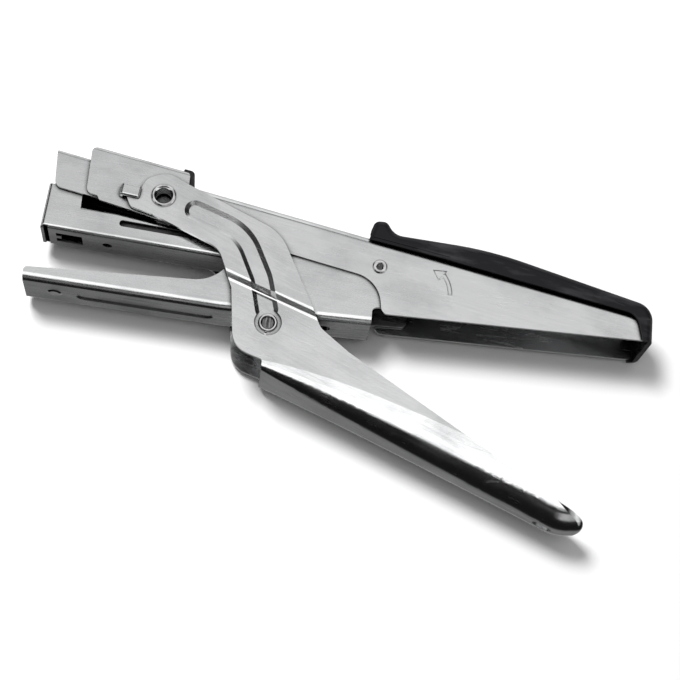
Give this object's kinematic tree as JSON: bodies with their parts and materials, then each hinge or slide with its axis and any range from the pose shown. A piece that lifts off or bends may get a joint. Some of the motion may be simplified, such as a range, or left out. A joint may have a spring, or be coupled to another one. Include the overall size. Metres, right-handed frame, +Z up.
{
  "type": "plier stapler",
  "caption": "Hand-held plier stapler in chromed sheet steel: squeezing the lower handle drives a staple between the jaws; a black cover lifts for loading.",
  "frame": {"origin": "under the middle of the tool's overall box, on the surface it lies on", "axes": "+X from the jaws to the handle ends, +Y from the lower handle to the upper handle, +Z up through the tool as it lies on its side"},
  "size_m": [0.1944, 0.1066, 0.0256],
  "materials": {
    "chromed_sheet": "satin chrome plating",
    "satin_sheet": "satin plated sheet",
    "bright_pins": "bright rolled edges",
    "hardened_steel": "ground",
    "spring_steel": "drawn wire",
    "black_gloss": "gloss black",
    "black_rubbery": "matt black",
    "staple_wire": "zinc plated wire"
  },
  "bodies": {
    "frame": {"body_shell": "chromed_sheet", "anvil_arm": "satin_sheet", "anvil_die": "hardened_steel", "die_rivet": "bright_pins", "spot_rivets": "bright_pins", "rear_pin": "bright_pins", "return_spring": "spring_steel", "hinge_bracket": "satin_sheet"},
    "cover": {"loading_cover": "black_gloss", "cover_pin": "bright_pins"},
    "driver": {"driver_arm": "satin_sheet", "driver_holder": "satin_sheet", "holder_rivets": "bright_pins", "driver_cap": "satin_sheet", "top_rivets": "bright_pins", "driver_blade": "hardened_steel", "buffer_block": "black_rubbery"},
    "lever": {"lever_handle": "chromed_sheet", "lower_pin": "bright_pins"},
    "roller": {"roller": "bright_pins"},
    "magazine": {"magazine_channel": "satin_sheet", "staple_rail": "hardened_steel", "staple_strip": "staple_wire", "guide_rod": "spring_steel", "rod_seat": "hardened_steel", "pusher_spring": "spring_steel"},
    "pusher": {"pusher": "hardened_steel"}
  },
  "joints": [
    {"name": "driver_hinge", "type": "hinge", "parent": "frame", "child": "driver", "pos_m": [0.01109, 0.02286, 0.0128], "axis": [0, 0, 1], "range_deg": [0, 12.6], "stiffness_Nm_per_rad": 1, "springref_deg": -17.19, "deforming": ["return_spring"]},
    {"name": "lever_hinge", "type": "hinge", "parent": "driver", "child": "lever", "pos_m": [-0.05751, 0.03816, 0.0128], "axis": [0, 0, 1], "range_deg": [0, 8.45]},
    {"name": "roller_spin", "type": "hinge", "parent": "lever", "child": "roller", "pos_m": [-0.02171, 0.00086, 0.0128], "axis": [0, 0, 1], "continuous": true},
    {"name": "magazine_hinge", "type": "hinge", "parent": "frame", "child": "magazine", "pos_m": [0.01109, 0.02286, 0.0128], "axis": [0, 0, 1], "range_deg": [0, 8.42]},
    {"name": "pusher_slide", "type": "slide", "parent": "magazine", "child": "pusher", "axis": [0.9975, -0.0703, 0], "range_m": [0, 0.03], "stiffness_N_per_m": 25, "springref_m": -0.02, "deforming": ["pusher_spring"]},
    {"name": "cover_hinge", "type": "hinge", "parent": "frame", "child": "cover", "pos_m": [0.01019, 0.03516, 0.0128], "axis": [0, 0, 1], "range_deg": [0, 60]}
  ],
  "couplings": [
    {"joint": "lever_hinge", "follows": "driver_hinge", "ratio": 0.669},
    {"joint": "magazine_hinge", "follows": "driver_hinge", "ratio": 0.6667}
  ]
}
